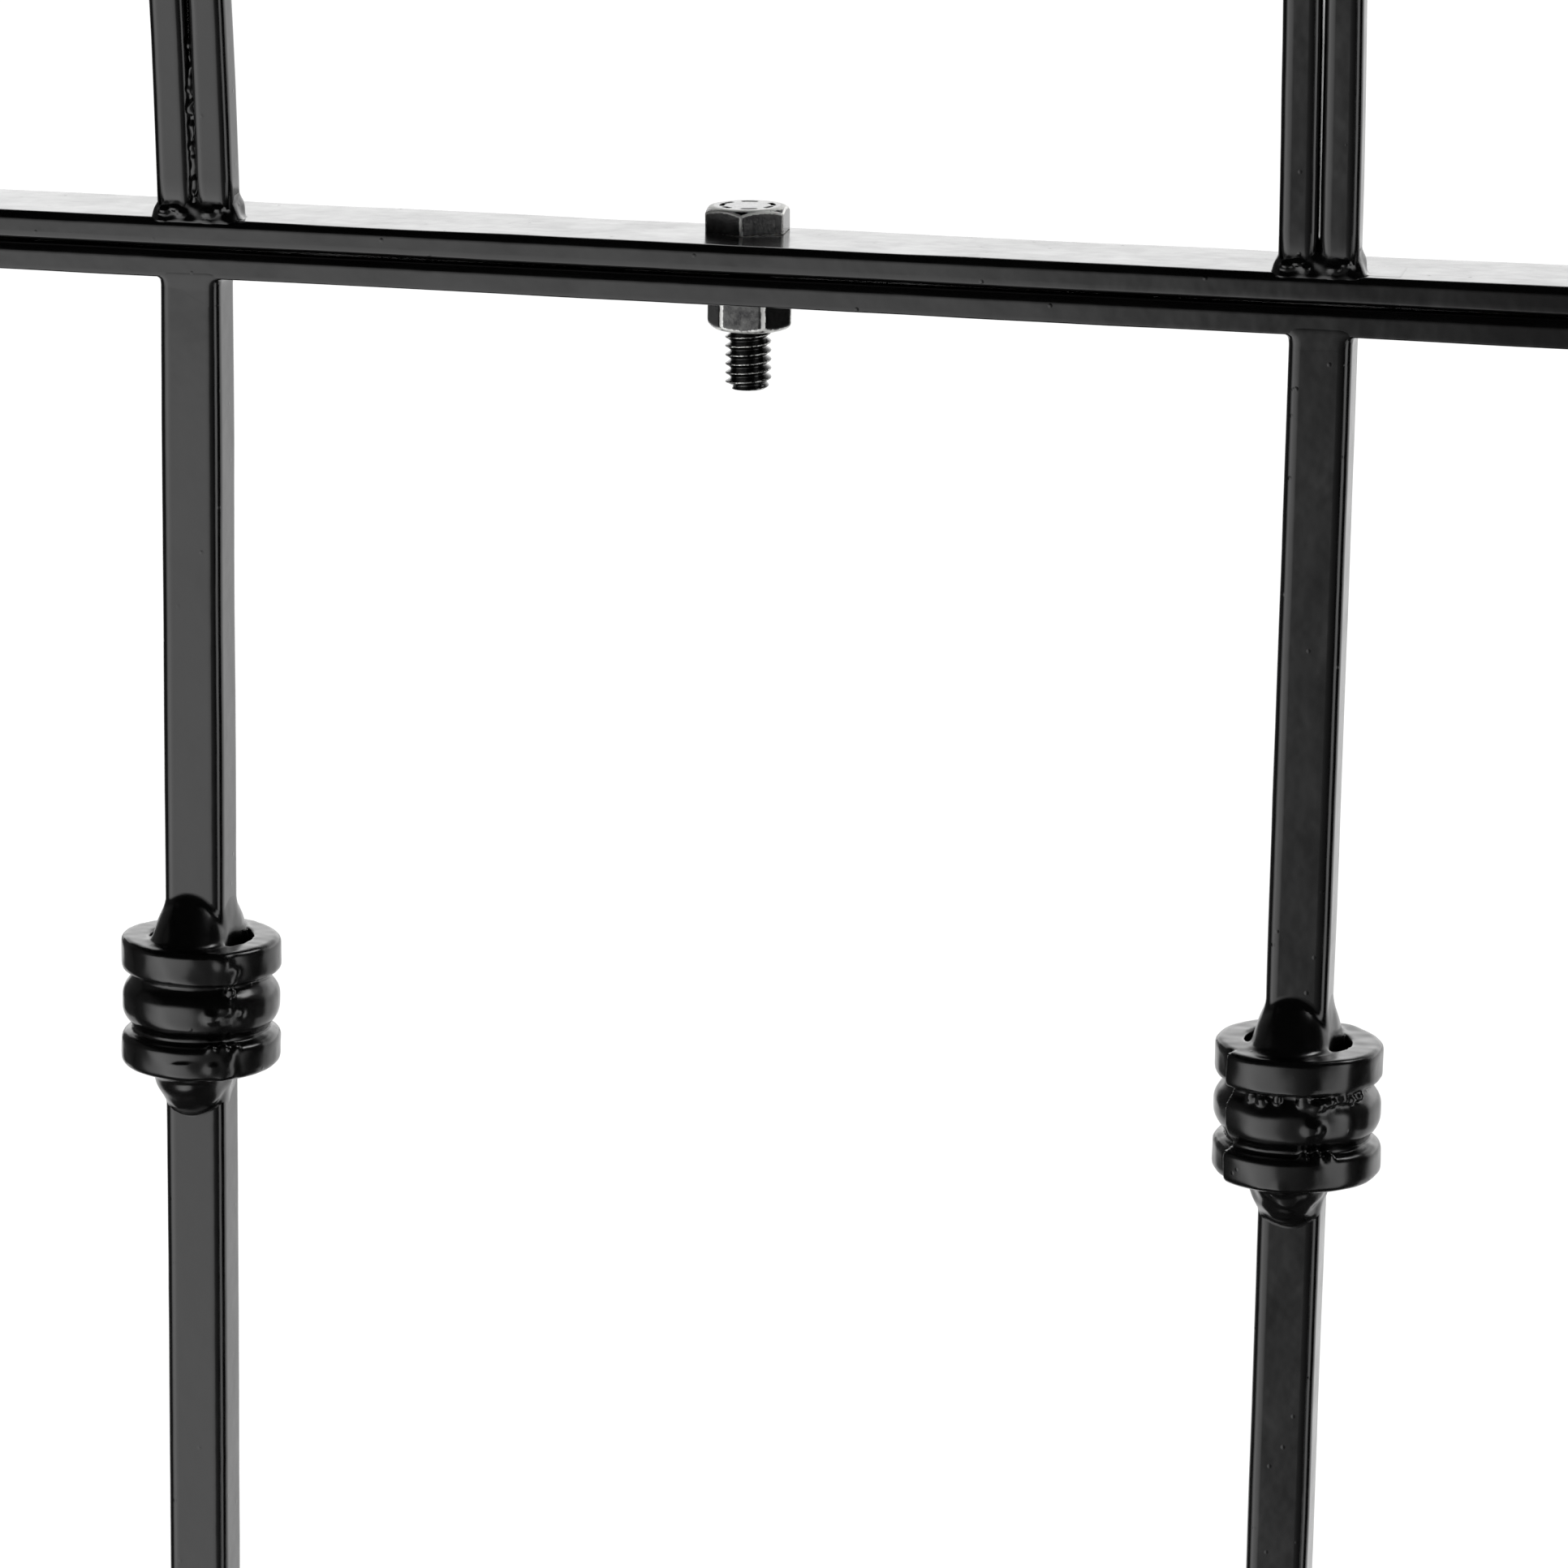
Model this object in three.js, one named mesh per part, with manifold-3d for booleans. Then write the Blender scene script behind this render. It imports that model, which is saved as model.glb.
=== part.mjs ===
// Walk-through metal trellis arch for a garden path.
// Millimetres, +Z up. The path runs along Y and the arch spans X. The origin is on the
// ground at the centre of the footprint.
// Two side panels carry a curved arch section. On each side the panel's top rail and the
// arch's foot rail are flat bars that lie on each other and are clamped by three hex bolts.

import * as THREE from 'three';
import { mergeVertices } from 'three/addons/utils/BufferGeometryUtils.js';
import Module from 'manifold-3d';

const wasm = await Module();
wasm.setup();

// Driving dimensions
const HALF_SPAN = 570;          // centre of the path to the inner face of a side panel
const PITCH = 160;              // spacing of the four verticals of a panel
const TWIN_PITCH = 158.6;        // spacing of the two pairs of twin ribs
const JOINT_Z = 1600;           // where the two stacked flat bars meet
const MID_RAIL_Z = 850;         // top of the middle rail
const BOTTOM_RAIL_Z = 100;      // top of the bottom rail
const WELD_GAP = 0.05;          // between welded neighbours
const TURNED_GAP = 0.3;         // between pieces that meet at an angle

const FLAT = { depth: 20, thick: 4.05, corner: 1.1 };     // rails
const POST = { size: 12.7, corner: 1.5 };                 // corner posts
const BAR = { size: 8.8, corner: 1.5 };                   // inner upright bars
const RIB = { width: 5.3, depth: 5.8, setBack: 0.5 };     // twin curved ribs
const EDGE_RIB_WIDTH = 12.7;                              // curved ribs over the posts
const SPRING_ANGLE = 5;                                   // degrees, lean of a rib at its foot
const CROSS_RAIL = { size: 5.5, corner: 0.8, count: 9, firstAngle: 18 };
const FOOT = { length: 60, width: 50, thick: 5, holeRadius: 4.5, holeFromEdge: 15 };

const COLLAR = {
  radius: 11.6, grooveRadius: 10, middleRadius: 11.3, boreRadius: 6.6,
  height: 19, ring: 4.6, groove: 1.5, edge: 1, facets: 12,
};
const COLLAR_DROP = [100, 103.5];   // rail's joint face down to the top of each bar's collar
const WELD_DOME = { across: 5.2, out: 4.2, up: 8.5 };

const BOLT = {
  radius: 3.1, headAcrossFlats: 11.1, headHeight: 3.7, length: 22.2,
  nutHeight: 5.56, nutBoreRadius: 3.5, holeRadius: 3.6,
  inset: 15, shift: -2.4, headTurn: 4, nutTurn: 31,
};

const STEEL_BLACK = { color: 0x0b0b0c, roughness: 0.22, metalness: 0.0 };
const ZINC = { color: 0x8f9092, roughness: 0.3, metalness: 1.0 };

const radians = THREE.MathUtils.degToRad;
const arch = new THREE.Group();

function addPart(name, geometry, finish, x, y, z, turn = [0, 0, 0]) {
  const mesh = new THREE.Mesh(geometry, new THREE.MeshStandardMaterial(finish));
  mesh.name = name;
  mesh.position.set(x, y, z);
  mesh.rotation.set(...turn);
  arch.add(mesh);
}

function toSolid(geometry) {
  const bare = geometry.clone();
  bare.deleteAttribute('normal');
  bare.deleteAttribute('uv');
  const merged = mergeVertices(bare, 1e-4);
  const vertProperties = new Float32Array(merged.attributes.position.array);
  const triVerts = new Uint32Array(merged.index.array);
  return new wasm.Manifold(new wasm.Mesh({ numProp: 3, vertProperties, triVerts }));
}

function toGeometry(solid) {
  const mesh = solid.getMesh();
  const geometry = new THREE.BufferGeometry();
  geometry.setAttribute('position', new THREE.BufferAttribute(mesh.vertProperties, 3));
  geometry.setIndex(new THREE.BufferAttribute(mesh.triVerts, 1));
  geometry.computeVertexNormals();
  return geometry;
}

// Section a x b with rounded corners, centred on the axis.
function roundedSection(a, b, r) {
  const shape = new THREE.Shape();
  const x = a / 2 - r;
  const y = b / 2 - r;
  shape.absarc(x, y, r, 0, Math.PI / 2);
  shape.absarc(-x, y, r, Math.PI / 2, Math.PI);
  shape.absarc(-x, -y, r, Math.PI, 1.5 * Math.PI);
  shape.absarc(x, -y, r, 1.5 * Math.PI, 2 * Math.PI);
  shape.closePath();
  return shape;
}

// Straight bar centred on the origin, along Z.
function uprightBar(a, b, length, corner) {
  const section = roundedSection(a, b, corner);
  const bar = new THREE.ExtrudeGeometry(section, { depth: length, bevelEnabled: false, curveSegments: 1 });
  return bar.translate(0, 0, -length / 2);
}

// Straight bar centred on the origin, along Y: a across X, b across Z.
function levelBar(a, b, length, corner) {
  return uprightBar(a, b, length, corner).rotateX(Math.PI / 2);
}

// Level flat bar with bolt holes at the given places along Y.
function drilledFlat(length, holeX, holeYs) {
  let bar = toSolid(levelBar(FLAT.depth, FLAT.thick, length, FLAT.corner));
  for (const y of holeYs) {
    const drill = new THREE.CylinderGeometry(BOLT.holeRadius, BOLT.holeRadius, 3 * FLAT.thick, 12);
    drill.rotateX(Math.PI / 2).translate(holeX, y, 0);
    bar = bar.subtract(toSolid(drill));
  }
  return toGeometry(bar);
}

function hexagon(acrossFlats) {
  const corner = acrossFlats / Math.sqrt(3);
  const points = [];
  for (let i = 0; i < 6; i++) {
    const angle = i * Math.PI / 3;
    points.push(new THREE.Vector2(corner * Math.cos(angle), corner * Math.sin(angle)));
  }
  return new THREE.Shape(points);
}

// Hex bolt, head up, with the underside of the head at z = 0.
function hexBolt() {
  const head = new THREE.ExtrudeGeometry(hexagon(BOLT.headAcrossFlats),
    { depth: BOLT.headHeight, bevelEnabled: false });
  const overlap = BOLT.headHeight / 2;
  const shank = new THREE.CylinderGeometry(BOLT.radius, BOLT.radius, BOLT.length + overlap, 12);
  shank.rotateX(Math.PI / 2).translate(0, 0, (overlap - BOLT.length) / 2);
  return toGeometry(toSolid(head).add(toSolid(shank)));
}

// Hex nut with its top at z = 0.
function hexNut() {
  const outline = hexagon(BOLT.headAcrossFlats);
  const bore = new THREE.Path();
  bore.absarc(0, 0, BOLT.nutBoreRadius, 0, 2 * Math.PI, true);
  outline.holes.push(bore);
  const nut = new THREE.ExtrudeGeometry(outline,
    { depth: BOLT.nutHeight, bevelEnabled: false, curveSegments: 6 });
  return nut.translate(0, 0, -BOLT.nutHeight);
}

// Ornamental collar of three rings round a bar, top face at z = 0, with the weld domes
// that hold it to the bar's two faces.
function collar() {
  const c = COLLAR;
  const middleTop = -c.ring - c.groove;
  const middleBottom = -c.height + c.ring + c.groove;
  const profile = [
    [c.boreRadius, -c.height],
    [c.radius, -c.height],
    [c.radius, -c.height + c.ring],
    [c.grooveRadius, middleBottom - c.groove / 2],
    [c.middleRadius, middleBottom + c.edge],
    [c.middleRadius, middleTop - c.edge],
    [c.grooveRadius, middleTop + c.groove / 2],
    [c.radius, -c.ring],
    [c.radius, 0],
    [c.boreRadius, 0],
    [c.boreRadius, -c.height],
  ].map(([r, z]) => new THREE.Vector2(r, z));
  let solid = toSolid(new THREE.LatheGeometry(profile, c.facets).rotateX(Math.PI / 2));
  for (const side of [-1, 1]) {
    for (const [z, up] of [[0, WELD_DOME.up], [-c.height, WELD_DOME.up * 0.6]]) {
      const dome = new THREE.SphereGeometry(1, 8, 5);
      dome.scale(WELD_DOME.out, WELD_DOME.across, up).translate(side * BAR.size / 2, 0, z);
      solid = solid.add(toSolid(dome));
    }
  }
  const clearance = BAR.size + 2 * TURNED_GAP;
  const passage = new THREE.BoxGeometry(clearance, clearance, 4 * c.height);
  return toGeometry(solid.subtract(toSolid(passage)));
}

// Curved rib over the path, from foot to foot, centred on Y = 0.
function rib(width) {
  const footZ = JOINT_Z + FLAT.thick + 2 * WELD_GAP;
  const inner = (HALF_SPAN + RIB.setBack) / Math.cos(radians(SPRING_ANGLE));
  const outer = inner + RIB.depth;
  const rise = inner * Math.sin(radians(SPRING_ANGLE));
  const innerStart = Math.asin(rise / inner);
  const outerStart = Math.asin(rise / outer);
  const outline = new THREE.Shape();
  outline.absarc(0, footZ - rise, outer, outerStart, Math.PI - outerStart, false);
  outline.absarc(0, footZ - rise, inner, Math.PI - innerStart, innerStart, true);
  outline.closePath();
  const body = new THREE.ExtrudeGeometry(outline, { depth: width, bevelEnabled: false, curveSegments: 20 });
  return { body: body.rotateX(Math.PI / 2).translate(0, width / 2, 0), outer, centreZ: footZ - rise };
}

// Places of the verticals and the bolts along the path
const postY = 1.5 * PITCH;
const barY = 0.5 * PITCH;
const twinY = 0.5 * TWIN_PITCH;
const boltYs = [-PITCH, 0, PITCH].map((y) => y + BOLT.shift);
const railLength = 2 * postY + POST.size;
const railBetweenPosts = 2 * postY - POST.size - 2 * WELD_GAP;
const ends = [['front', -1], ['rear', 1]];
const bays = ['front', 'middle', 'rear'];

for (const [side, sign] of [['left', -1], ['right', 1]]) {
  const across = (u) => sign * (HALF_SPAN + u);
  const holeX = sign * (BOLT.inset - FLAT.depth / 2);
  const flatX = across(FLAT.depth / 2);

  // Stacked flat bars at the joint, and the panel's other two rails
  const lowerFlatZ = JOINT_Z - FLAT.thick / 2;
  const upperFlatZ = JOINT_Z + WELD_GAP + FLAT.thick / 2;
  addPart(`${side}_panel_top_rail`, drilledFlat(railLength, holeX, boltYs), STEEL_BLACK, flatX, 0, lowerFlatZ);
  addPart(`${side}_arch_foot_rail`, drilledFlat(railLength, holeX, boltYs), STEEL_BLACK, flatX, 0, upperFlatZ);
  for (const [name, top] of [['middle', MID_RAIL_Z], ['bottom', BOTTOM_RAIL_Z]]) {
    const rail = levelBar(FLAT.depth, FLAT.thick, railBetweenPosts, FLAT.corner);
    addPart(`${side}_panel_${name}_rail`, rail, STEEL_BLACK, flatX, 0, top - FLAT.thick / 2);
  }

  for (const [end, along] of ends) {
    // Corner post on its foot plate
    const postBottom = FOOT.thick + WELD_GAP;
    const postTop = JOINT_Z - FLAT.thick - WELD_GAP;
    const post = uprightBar(POST.size, POST.size, postTop - postBottom, POST.corner);
    addPart(`${side}_post_${end}`, post, STEEL_BLACK,
      across(POST.size / 2), along * postY, (postTop + postBottom) / 2);

    const plate = roundedSection(FOOT.length, FOOT.width, FOOT.thick);
    const hole = new THREE.Path();
    const holeAt = sign * (FOOT.length / 2 - FOOT.holeFromEdge);
    hole.absarc(holeAt, 0, FOOT.holeRadius, 0, 2 * Math.PI, true);
    plate.holes.push(hole);
    const foot = new THREE.ExtrudeGeometry(plate,
      { depth: FOOT.thick, bevelEnabled: false, curveSegments: 4 });
    addPart(`${side}_foot_${end}`, foot, STEEL_BLACK, across(FOOT.length / 2), along * postY, 0);

    // Inner bars in two lengths, each with its collar
    const drop = COLLAR_DROP[along < 0 ? 0 : 1];
    const lengths = [
      ['upper', MID_RAIL_Z, JOINT_Z - FLAT.thick, JOINT_Z - drop],
      ['lower', BOTTOM_RAIL_Z, MID_RAIL_Z - FLAT.thick, BOTTOM_RAIL_Z + drop],
    ];
    for (const [level, low, high, collarTop] of lengths) {
      const length = high - low - 2 * WELD_GAP;
      const x = across(BAR.size / 2);
      addPart(`${side}_bar_${level}_${end}`, uprightBar(BAR.size, BAR.size, length, BAR.corner),
        STEEL_BLACK, x, along * barY, (low + high) / 2);
      addPart(`${side}_collar_${level}_${end}`, collar(), STEEL_BLACK, x, along * barY, collarTop);
    }
  }

  // Bolts through both flat bars
  boltYs.forEach((y, i) => {
    const x = across(BOLT.inset);
    const headZ = upperFlatZ + FLAT.thick / 2 + WELD_GAP;
    const nutZ = JOINT_Z - FLAT.thick - WELD_GAP;
    const headTurn = -sign * radians(BOLT.headTurn);
    const nutTurn = -sign * radians(BOLT.nutTurn);
    addPart(`${side}_bolt_${bays[i]}`, hexBolt(), ZINC, x, y, headZ, [0, 0, headTurn]);
    addPart(`${side}_nut_${bays[i]}`, hexNut(), ZINC, x, y, nutZ, [0, 0, nutTurn]);
  });
}

// Curved ribs: one over each pair of posts, two side by side over each pair of inner bars
const twinOffset = (RIB.width + TURNED_GAP) / 2;
for (const [end, along] of ends) {
  addPart(`edge_rib_${end}`, rib(EDGE_RIB_WIDTH).body, STEEL_BLACK, 0, along * postY, 0);
  addPart(`twin_rib_${end}_outer`, rib(RIB.width).body, STEEL_BLACK, 0, along * (twinY + twinOffset), 0);
  addPart(`twin_rib_${end}_inner`, rib(RIB.width).body, STEEL_BLACK, 0, along * (twinY - twinOffset), 0);
}

// Cross rails lie on the outside of the ribs
const curve = rib(RIB.width);
const railRadius = curve.outer + TURNED_GAP + CROSS_RAIL.size / 2;
const railStep = (180 - 2 * CROSS_RAIL.firstAngle) / (CROSS_RAIL.count - 1);
for (let i = 0; i < CROSS_RAIL.count; i++) {
  const angle = radians(CROSS_RAIL.firstAngle + i * railStep);
  const rail = levelBar(CROSS_RAIL.size, CROSS_RAIL.size, railLength, CROSS_RAIL.corner);
  addPart(`cross_rail_${i + 1}`, rail, STEEL_BLACK,
    railRadius * Math.cos(angle), 0, curve.centreZ + railRadius * Math.sin(angle), [0, -angle, 0]);
}

export default arch;
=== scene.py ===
"""Looks of the metal trellis arch: black painted steel bars, collars, welds, bolts and a studio."""

import math

import bpy
import numpy as np
from mathutils import Matrix, Vector


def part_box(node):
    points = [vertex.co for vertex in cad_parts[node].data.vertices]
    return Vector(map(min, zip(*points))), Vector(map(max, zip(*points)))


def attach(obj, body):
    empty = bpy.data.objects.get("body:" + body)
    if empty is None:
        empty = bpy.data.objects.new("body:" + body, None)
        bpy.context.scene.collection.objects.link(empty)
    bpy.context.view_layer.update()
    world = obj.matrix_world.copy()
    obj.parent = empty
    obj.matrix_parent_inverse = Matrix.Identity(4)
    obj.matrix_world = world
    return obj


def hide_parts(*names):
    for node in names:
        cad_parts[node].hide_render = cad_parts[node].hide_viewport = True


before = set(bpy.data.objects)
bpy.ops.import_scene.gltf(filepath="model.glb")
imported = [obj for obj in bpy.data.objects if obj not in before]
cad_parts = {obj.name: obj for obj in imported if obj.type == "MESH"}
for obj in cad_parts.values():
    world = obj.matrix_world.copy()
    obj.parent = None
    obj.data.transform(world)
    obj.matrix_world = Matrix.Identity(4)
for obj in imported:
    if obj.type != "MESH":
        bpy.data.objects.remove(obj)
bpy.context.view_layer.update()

MM = 0.001

# Sizes in millimetres that the frame's boxes don't give
HALF_SPAN = 570.0          # centre of the path to the inner face of a side panel
FLAT_DEPTH = 20.0          # flat rails
FLAT_THICK = 4.05
JOINT_GAP = 0.2            # the arch's foot rail is lifted by this, where the stacked rails don't quite touch
BAR_SIZE = 8.8             # inner upright bars
CROSS_SIZE = 5.3           # cross rails
TWIN_WIDTH = 5.3           # each of two twin ribs
TWIN_DEPTH = 5.8
TWIN_OFFSET = 2.8          # from the middle of the pair to the middle of a rib
POST_CORNER = 1.9          # radii of the painted edges
BAR_CORNER = 1.6
FLAT_CORNER = 1.05
FLAT_UPPER_CORNER = 1.3    # panel's top rail, edges at the joint
FLAT_LOWER_CORNER = 0.4    # panel's top rail, lower edges
RIB_CORNER = 1.4
CROSS_CORNER = 1.1
SPRING_ANGLE = math.radians(5)   # lean of a curved rib at its foot
RIB_SET_BACK = 0.5         # a rib's foot from the rail's inner face
RIB_RADIUS = (HALF_SPAN + RIB_SET_BACK) / math.cos(SPRING_ANGLE)
RIB_RISE = RIB_RADIUS * math.sin(SPRING_ANGLE)

# Collars. Each bead has its change of radius, bottom, top and edge radius, down from the ring's top
DOME_ABOVE = 8.5           # how far the frame's box reaches above the ring's top
COLLAR_BEADS = ((0.0, -5.0, 0.0, 0.9), (-1.7, -18.0, -1.0, 0.5),
                (-0.1, -13.3, -5.5, 3.3), (0.05, -19.0, -13.9, 1.2))
COLLAR_INNER = 5.0         # beads start inside the bore, which is cut last
COLLAR_BORE = 7.4
DOME_LEAN = 0.36
UNDER_DOME_UP = 8.8        # reach of the dome under a collar, on the side of the walkway

# Fasteners
HEAD_AF = 11.1
NUT_AF = 10.75
HEAD_HEIGHT = 3.7
NUT_HEIGHT = 5.56
THREAD_R = 3.25
THREAD_ROOT_R = 2.5
THREAD_PITCH = 1.27
SHANK_LENGTH = 22.2
NUT_BORE_R = 3.3
HEAD_TURN = math.radians(4)
NUT_TURN = math.radians(31)
BOLT_SLACK = 0.42          # how far a bolt sits off the middle of its hole
BOLT_LEAN = math.radians(1.1)

# Camera, in degrees, mm of focal length and metres from the joint face at the bolt
CAMERA_YAW, CAMERA_PITCH, CAMERA_ROLL = -12.11, 13.76, -0.92
CAMERA_LENS = 146
CAMERA_FROM_BOLT = (0.862, 0.191, 0.1408)


# ---------------------------------------------------------------- camera

def make_camera():
    """Stands inside the arch and looks down through the left panel at its middle bolt."""
    low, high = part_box("left_bolt_middle")
    bolt = Vector(((low.x + high.x) / 2, (low.y + high.y) / 2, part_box("left_panel_top_rail")[1].z))
    yaw, pitch, roll = (math.radians(angle) for angle in (CAMERA_YAW, CAMERA_PITCH, CAMERA_ROLL))
    forward = Vector((-math.cos(yaw) * math.cos(pitch), math.sin(yaw) * math.cos(pitch), -math.sin(pitch)))
    level = Vector((math.sin(yaw), math.cos(yaw), 0))
    down = forward.cross(level)
    right = math.cos(roll) * level + math.sin(roll) * down
    up = right.cross(forward)
    data = bpy.data.cameras.new("camera")
    data.sensor_width = 36
    data.lens = CAMERA_LENS
    camera = bpy.data.objects.new("camera", data)
    bpy.context.scene.collection.objects.link(camera)
    place = Matrix((right, up, -forward)).transposed().to_4x4()
    place.translation = bolt + Vector(CAMERA_FROM_BOLT)
    camera.matrix_world = place
    bpy.context.scene.camera = camera


make_camera()


# ---------------------------------------------------------------- materials

def new_material(name):
    material = bpy.data.materials.new(name)
    material.use_nodes = True
    nodes = material.node_tree.nodes
    return material, nodes, material.node_tree.links, nodes["Principled BSDF"]


def noise(nodes, links, coords, scale, detail=2.0, rough=0.5):
    node = nodes.new("ShaderNodeTexNoise")
    node.inputs["Scale"].default_value = scale
    node.inputs["Detail"].default_value = detail
    node.inputs["Roughness"].default_value = rough
    links.new(coords, node.inputs["Vector"])
    return node.outputs["Fac"]


def ramp(nodes, links, value, low, high, start=0.3, end=0.7):
    """Maps a value between start and end to a colour or grey between low and high."""
    node = nodes.new("ShaderNodeValToRGB")
    elements = node.color_ramp.elements
    for element, position, level in ((elements[0], start, low), (elements[1], end, high)):
        element.position = position
        element.color = tuple(level) + (1,) if isinstance(level, tuple) else (level, level, level, 1)
    links.new(value, node.inputs["Fac"])
    return node.outputs["Color"]


def bump(nodes, links, height, strength, distance, normal=None):
    node = nodes.new("ShaderNodeBump")
    node.inputs["Strength"].default_value = strength
    node.inputs["Distance"].default_value = distance
    links.new(height, node.inputs["Height"])
    if normal is not None:
        links.new(normal, node.inputs["Normal"])
    return node.outputs["Normal"]


def black_paint(name, smooth, dull):
    """Glossy black paint with a soft orange peel, a few dust specks and slightly uneven gloss."""
    material, nodes, links, shader = new_material(name)
    coords = nodes.new("ShaderNodeTexCoord").outputs["Object"]
    tint = noise(nodes, links, coords, 60, 3)
    links.new(ramp(nodes, links, tint, (0.0003, 0.0003, 0.00033), (0.001, 0.001, 0.0011)),
              shader.inputs["Base Color"])
    gloss = noise(nodes, links, coords, 130, 4, 0.6)
    links.new(ramp(nodes, links, gloss, smooth, dull), shader.inputs["Roughness"])
    shader.inputs["IOR"].default_value = 1.5
    peel = noise(nodes, links, coords, 420, 1)
    normal = bump(nodes, links, peel, 0.12, 0.0002)
    dust = nodes.new("ShaderNodeTexVoronoi")
    dust.inputs["Scale"].default_value = 260
    links.new(coords, dust.inputs["Vector"])
    specks = ramp(nodes, links, dust.outputs["Distance"], 1.0, 0.0, 0.0, 0.09)
    normal = bump(nodes, links, specks, 0.35, 0.00012, normal)
    sags = noise(nodes, links, coords, 90, 2)
    links.new(bump(nodes, links, sags, 0.35, 0.0004, normal), shader.inputs["Normal"])
    return material


def dark_zinc():
    """Dark plated steel whose edges and thread crests, as the wear attribute marks them, turn pale: partly
    worn plating, partly painted highlights and glints.
    """
    material, nodes, links, shader = new_material("dark_zinc")
    coords = nodes.new("ShaderNodeTexCoord").outputs["Object"]
    wear_and_highlight = nodes.new("ShaderNodeAttribute")
    wear_and_highlight.attribute_name = "wear_and_highlight"
    patchy = nodes.new("ShaderNodeMath")
    patchy.operation = "MULTIPLY_ADD"
    links.new(noise(nodes, links, coords, 1400, 3, 0.7), patchy.inputs[0])
    patchy.inputs[1].default_value = 0.9
    links.new(wear_and_highlight.outputs["Fac"], patchy.inputs[2])
    # Pale where the plating is worn and where painted edge highlights and crest glints lie.
    worn_and_highlit = ramp(nodes, links, patchy.outputs["Value"], 0.0, 1.0, 0.75, 1.0)
    spots = noise(nodes, links, coords, 900, 4, 0.7)
    plated = ramp(nodes, links, spots, (0.035, 0.035, 0.036), (0.11, 0.11, 0.108), 0.35, 0.75)
    tone = nodes.new("ShaderNodeMix")
    tone.data_type = "RGBA"
    links.new(worn_and_highlit, tone.inputs["Factor"])
    links.new(plated, tone.inputs["A"])
    tone.inputs["B"].default_value = (0.9, 0.9, 0.88, 1)
    links.new(tone.outputs["Result"], shader.inputs["Base Color"])
    links.new(ramp(nodes, links, worn_and_highlit, 0.22, 0.6, 0.0, 1.0), shader.inputs["Roughness"])
    shader.inputs["Metallic"].default_value = 1
    scratches = noise(nodes, links, coords, 2500, 3, 0.7)
    links.new(bump(nodes, links, scratches, 0.25, 0.00008), shader.inputs["Normal"])
    return material


PAINT = black_paint("black_paint", 0.13, 0.22)
SATIN_PAINT = black_paint("black_paint_satin", 0.17, 0.28)
ZINC = dark_zinc()


# ---------------------------------------------------------------- pieces

def add_piece(name, mesh, node=None, material=None):
    """A new visible piece of the object, standing for a frame node where one is given."""
    piece = bpy.data.objects.new(name, mesh)
    bpy.context.scene.collection.objects.link(piece)
    if not mesh.materials:
        mesh.materials.append(material or PAINT)
    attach(piece, "root")
    if node:
        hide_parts(node)
    return piece


def make_mesh(name, points, faces, flat_faces=()):
    """Mesh from points in metres, shaded smooth apart from the listed faces."""
    mesh = bpy.data.meshes.new(name)
    mesh.from_pydata([tuple(p) for p in points], [], [tuple(f) for f in faces])
    smooth = np.ones(len(mesh.polygons), bool)
    smooth[list(flat_faces)] = False
    mesh.polygons.foreach_set("use_smooth", smooth)
    mesh.update()
    return mesh


def ripple(points, size, seed, waves=8):
    """Smooth random field of about unit height. size is the length of a ripple, in the points' unit."""
    rng = np.random.default_rng(seed)
    total = np.zeros(points.shape[:-1])
    for _ in range(waves):
        direction = rng.normal(size=3)
        direction *= 2 * math.pi / (np.linalg.norm(direction) * size * rng.uniform(0.7, 1.5))
        total += np.sin(points @ direction + rng.uniform(0, 2 * math.pi))
    return total / math.sqrt(waves)


# ---------------------------------------------------------------- bars

def bar_outline(width, depth, corners, steps=5, beside=0.3):
    """Rounded rectangle in mm: points and outward normals, with a point beside each corner's arc.

    corners are the four radii, in the order ++, -+, --, +- of the two directions."""
    points, normals = [], []
    signs = ((1, 1), (-1, 1), (-1, -1), (1, -1))
    for quarter, ((sx, sy), corner) in enumerate(zip(signs, corners)):
        centre = np.array((sx * (width / 2 - corner), sy * (depth / 2 - corner)))
        angles = math.radians(90) * (quarter + np.linspace(0, 1, steps + 1))
        arc = np.stack((np.cos(angles), np.sin(angles)), 1)
        first, last = arc[0], arc[-1]
        before = centre + corner * first - beside * np.array((-first[1], first[0]))
        after = centre + corner * last + beside * np.array((-last[1], last[0]))
        points += [before, *(centre + corner * arc), after]
        normals += [first, *arc, last]
    return np.array(points), np.array(normals)


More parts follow.
